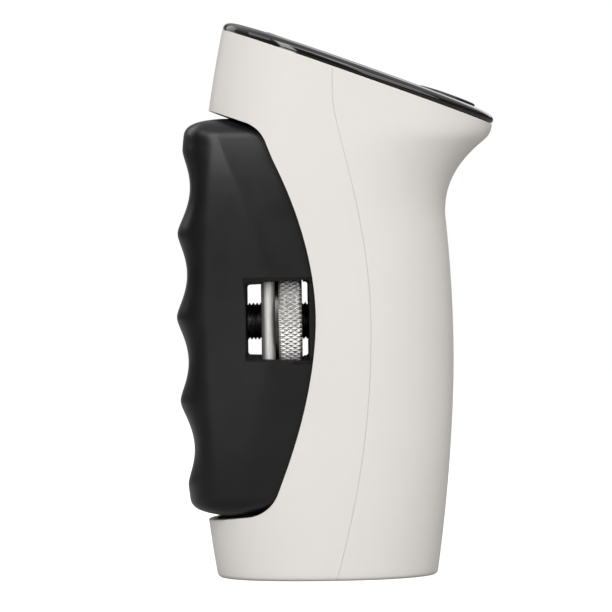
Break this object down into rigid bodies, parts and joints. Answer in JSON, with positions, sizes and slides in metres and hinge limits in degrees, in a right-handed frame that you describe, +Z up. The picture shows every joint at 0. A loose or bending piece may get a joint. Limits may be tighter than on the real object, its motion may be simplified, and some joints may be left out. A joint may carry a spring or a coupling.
{
  "type": "hand-grip dynamometer",
  "caption": "Grip-strength meter: ivory palm body with a slanted black display end, black finger-grooved sliding handle and a knurled adjusting wheel in its window.",
  "frame": {"origin": "centre of the overall box at the flat base, handle fully in", "axes": "+Z up towards the display end, +X towards the palm side, -X towards the fingers, +Y the side away from the viewer"},
  "size_m": [0.0861, 0.043, 0.1492],
  "materials": {
    "ivory_shell": "fine satin moulded",
    "black_gloss": "polished",
    "display_glass": "tinted clear",
    "lcd_face": "smooth grey-green",
    "circuit_board": "solder-masked",
    "black_matte": "matte",
    "button_black": "satin",
    "nylon_frame": "moulded, slightly grained",
    "grip_black": "fine satin grip",
    "spring_steel": "drawn wire",
    "plated_contact": "nickel plated",
    "plated_screw": "zinc plated",
    "cell_wrap": "shrink sleeve",
    "wire_red": "smooth insulation",
    "load_cell_metal": "machined",
    "gauge_foil": "thin film",
    "rod_black_oxide": "black oxide, thread-cut",
    "bronze": "turned",
    "ground_steel": "ground",
    "brushed_bar": "brushed along its length",
    "wheel_steel": "diamond knurled rim, turned faces"
  },
  "bodies": {
    "body": {"front_shell": "ivory_shell", "rear_shell": "ivory_shell", "shell_screws": "plated_screw", "chassis": "nylon_frame", "chassis_screws": "plated_screw", "top_cover": "black_gloss", "display_lens": "display_glass", "lcd_module": "lcd_face", "main_board": "circuit_board", "board_screws": "plated_screw", "buzzer": "black_matte", "button_spring": "spring_steel", "button_switch": "plated_contact", "battery_holder": "nylon_frame", "battery_near": "cell_wrap", "battery_far": "cell_wrap", "battery_contacts": "plated_contact", "battery_lead": "wire_red", "load_cell": "load_cell_metal", "load_cell_screws": "plated_screw", "strain_gauges": "gauge_foil", "gauge_lead": "wire_red", "threaded_rod": "rod_black_oxide", "jam_nut": "plated_screw", "guide_bush_upper": "bronze", "guide_bush_lower": "bronze"},
    "handle": {"handle_near": "grip_black", "handle_far": "grip_black", "handle_screws": "plated_screw", "guide_block_upper": "nylon_frame", "guide_block_lower": "nylon_frame", "guide_pin_upper": "ground_steel", "guide_pin_lower": "ground_steel", "thrust_bar": "brushed_bar", "thrust_washer": "ground_steel"},
    "wheel": {"adjusting_wheel": "wheel_steel"},
    "button": {"power_button": "button_black"},
    "door": {"battery_door": "ivory_shell", "door_contact": "plated_contact"}
  },
  "joints": [
    {"name": "handle_slide", "type": "slide", "parent": "body", "child": "handle", "axis": [-1, 0, 0], "range_m": [0, 0.014]},
    {"name": "wheel_turn", "type": "hinge", "parent": "handle", "child": "wheel", "pos_m": [-0.0122, 0, 0.0688], "axis": [-1, 0, 0], "range_deg": [0, 5045]},
    {"name": "button_press", "type": "slide", "parent": "body", "child": "button", "axis": [-0.342, 0, -0.9397], "range_m": [0, 0.0005], "stiffness_N_per_m": 800},
    {"name": "door_out", "type": "slide", "parent": "body", "child": "door", "axis": [0, 0, -1], "range_m": [0, 0.012]}
  ],
  "couplings": [
    {"joint": "wheel_turn", "follows": "handle_slide", "rad_per_m": 6283.2}
  ]
}
